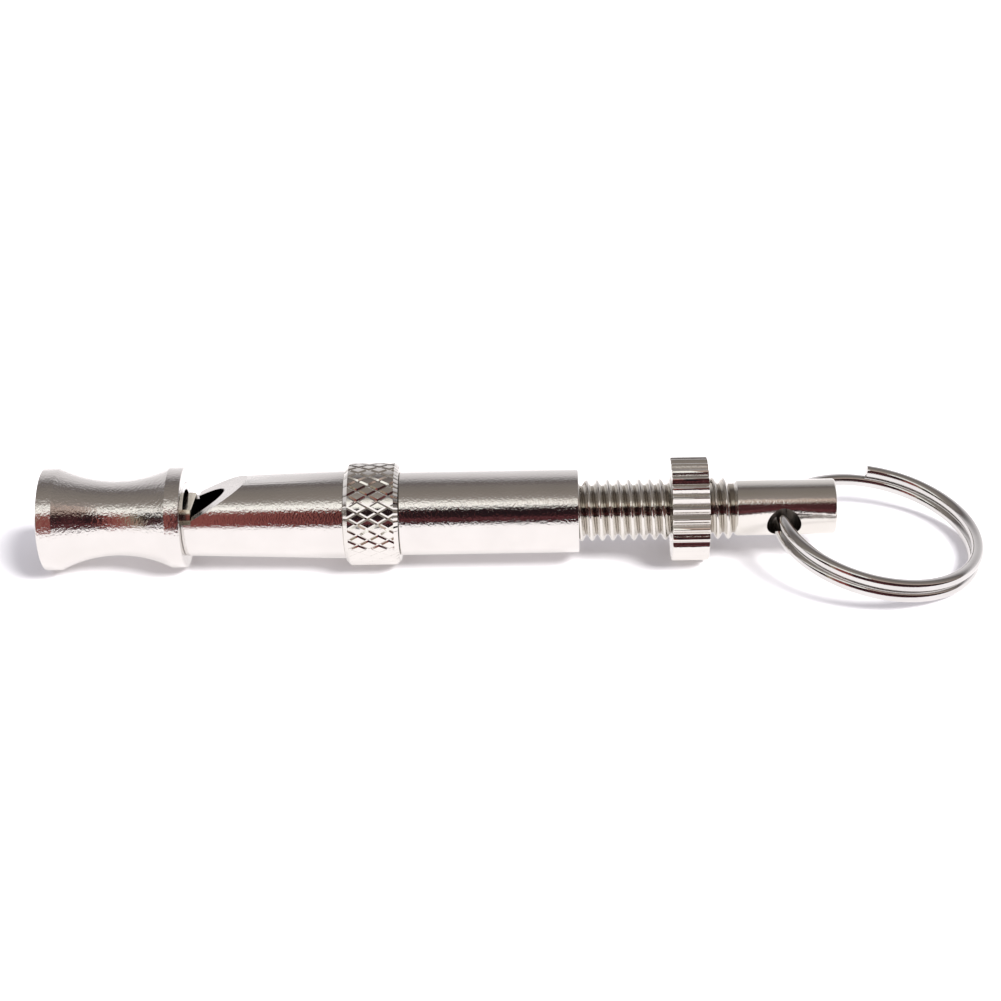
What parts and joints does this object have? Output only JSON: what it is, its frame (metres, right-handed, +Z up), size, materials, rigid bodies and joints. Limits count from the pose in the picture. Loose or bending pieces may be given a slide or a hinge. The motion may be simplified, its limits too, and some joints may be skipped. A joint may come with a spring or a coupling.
{
  "type": "training whistle",
  "caption": "Slim turned metal dog whistle with a waisted mouthpiece, a wedge window, a piston on a tuning screw, a lock nut and a split ring through its tail.",
  "frame": {"origin": "centre of the mouthpiece's open end, on the whistle's axis", "axes": "+X along the whistle's axis from the mouth end to the tail and its ring, +Z up from the surface that it lies on, +Y to the side away from the ring's lower edge"},
  "size_m": [0.0898, 0.0202, 0.0098],
  "materials": {
    "nickel_plate": "polished",
    "screw_plate": "satin",
    "bare_brass": "satin",
    "ring_steel": "polished"
  },
  "bodies": {
    "whistle_body": {"mouthpiece": "nickel_plate", "windway_plug": "bare_brass", "front_barrel": "nickel_plate", "knurled_collar": "nickel_plate", "rear_barrel": "nickel_plate"},
    "piston": {"piston": "bare_brass"},
    "tuning_screw": {"tuning_screw": "screw_plate"},
    "lock_nut": {"lock_nut": "nickel_plate"},
    "split_ring": {"split_ring": "ring_steel"}
  },
  "joints": [
    {"name": "tuning_slide", "type": "slide", "parent": "whistle_body", "child": "piston", "axis": [1, 0, 0], "range_m": [-0.005, 0.005]},
    {"name": "tuning_turn", "type": "hinge", "parent": "piston", "child": "tuning_screw", "pos_m": [0.0423, 0, 0], "axis": [1, 0, 0], "range_deg": [-1800, 1800]},
    {"name": "nut_travel", "type": "slide", "parent": "tuning_screw", "child": "lock_nut", "axis": [1, 0, 0], "range_m": [-0.0037, 0.0024]},
    {"name": "ring_swing", "type": "hinge", "parent": "tuning_screw", "child": "split_ring", "pos_m": [0.0707, 0, 0], "axis": [0, 0.9848, 0.1736], "range_deg": [-165, 150]}
  ],
  "couplings": [
    {"joint": "tuning_turn", "follows": "tuning_slide", "rad_per_m": 6283.2}
  ]
}
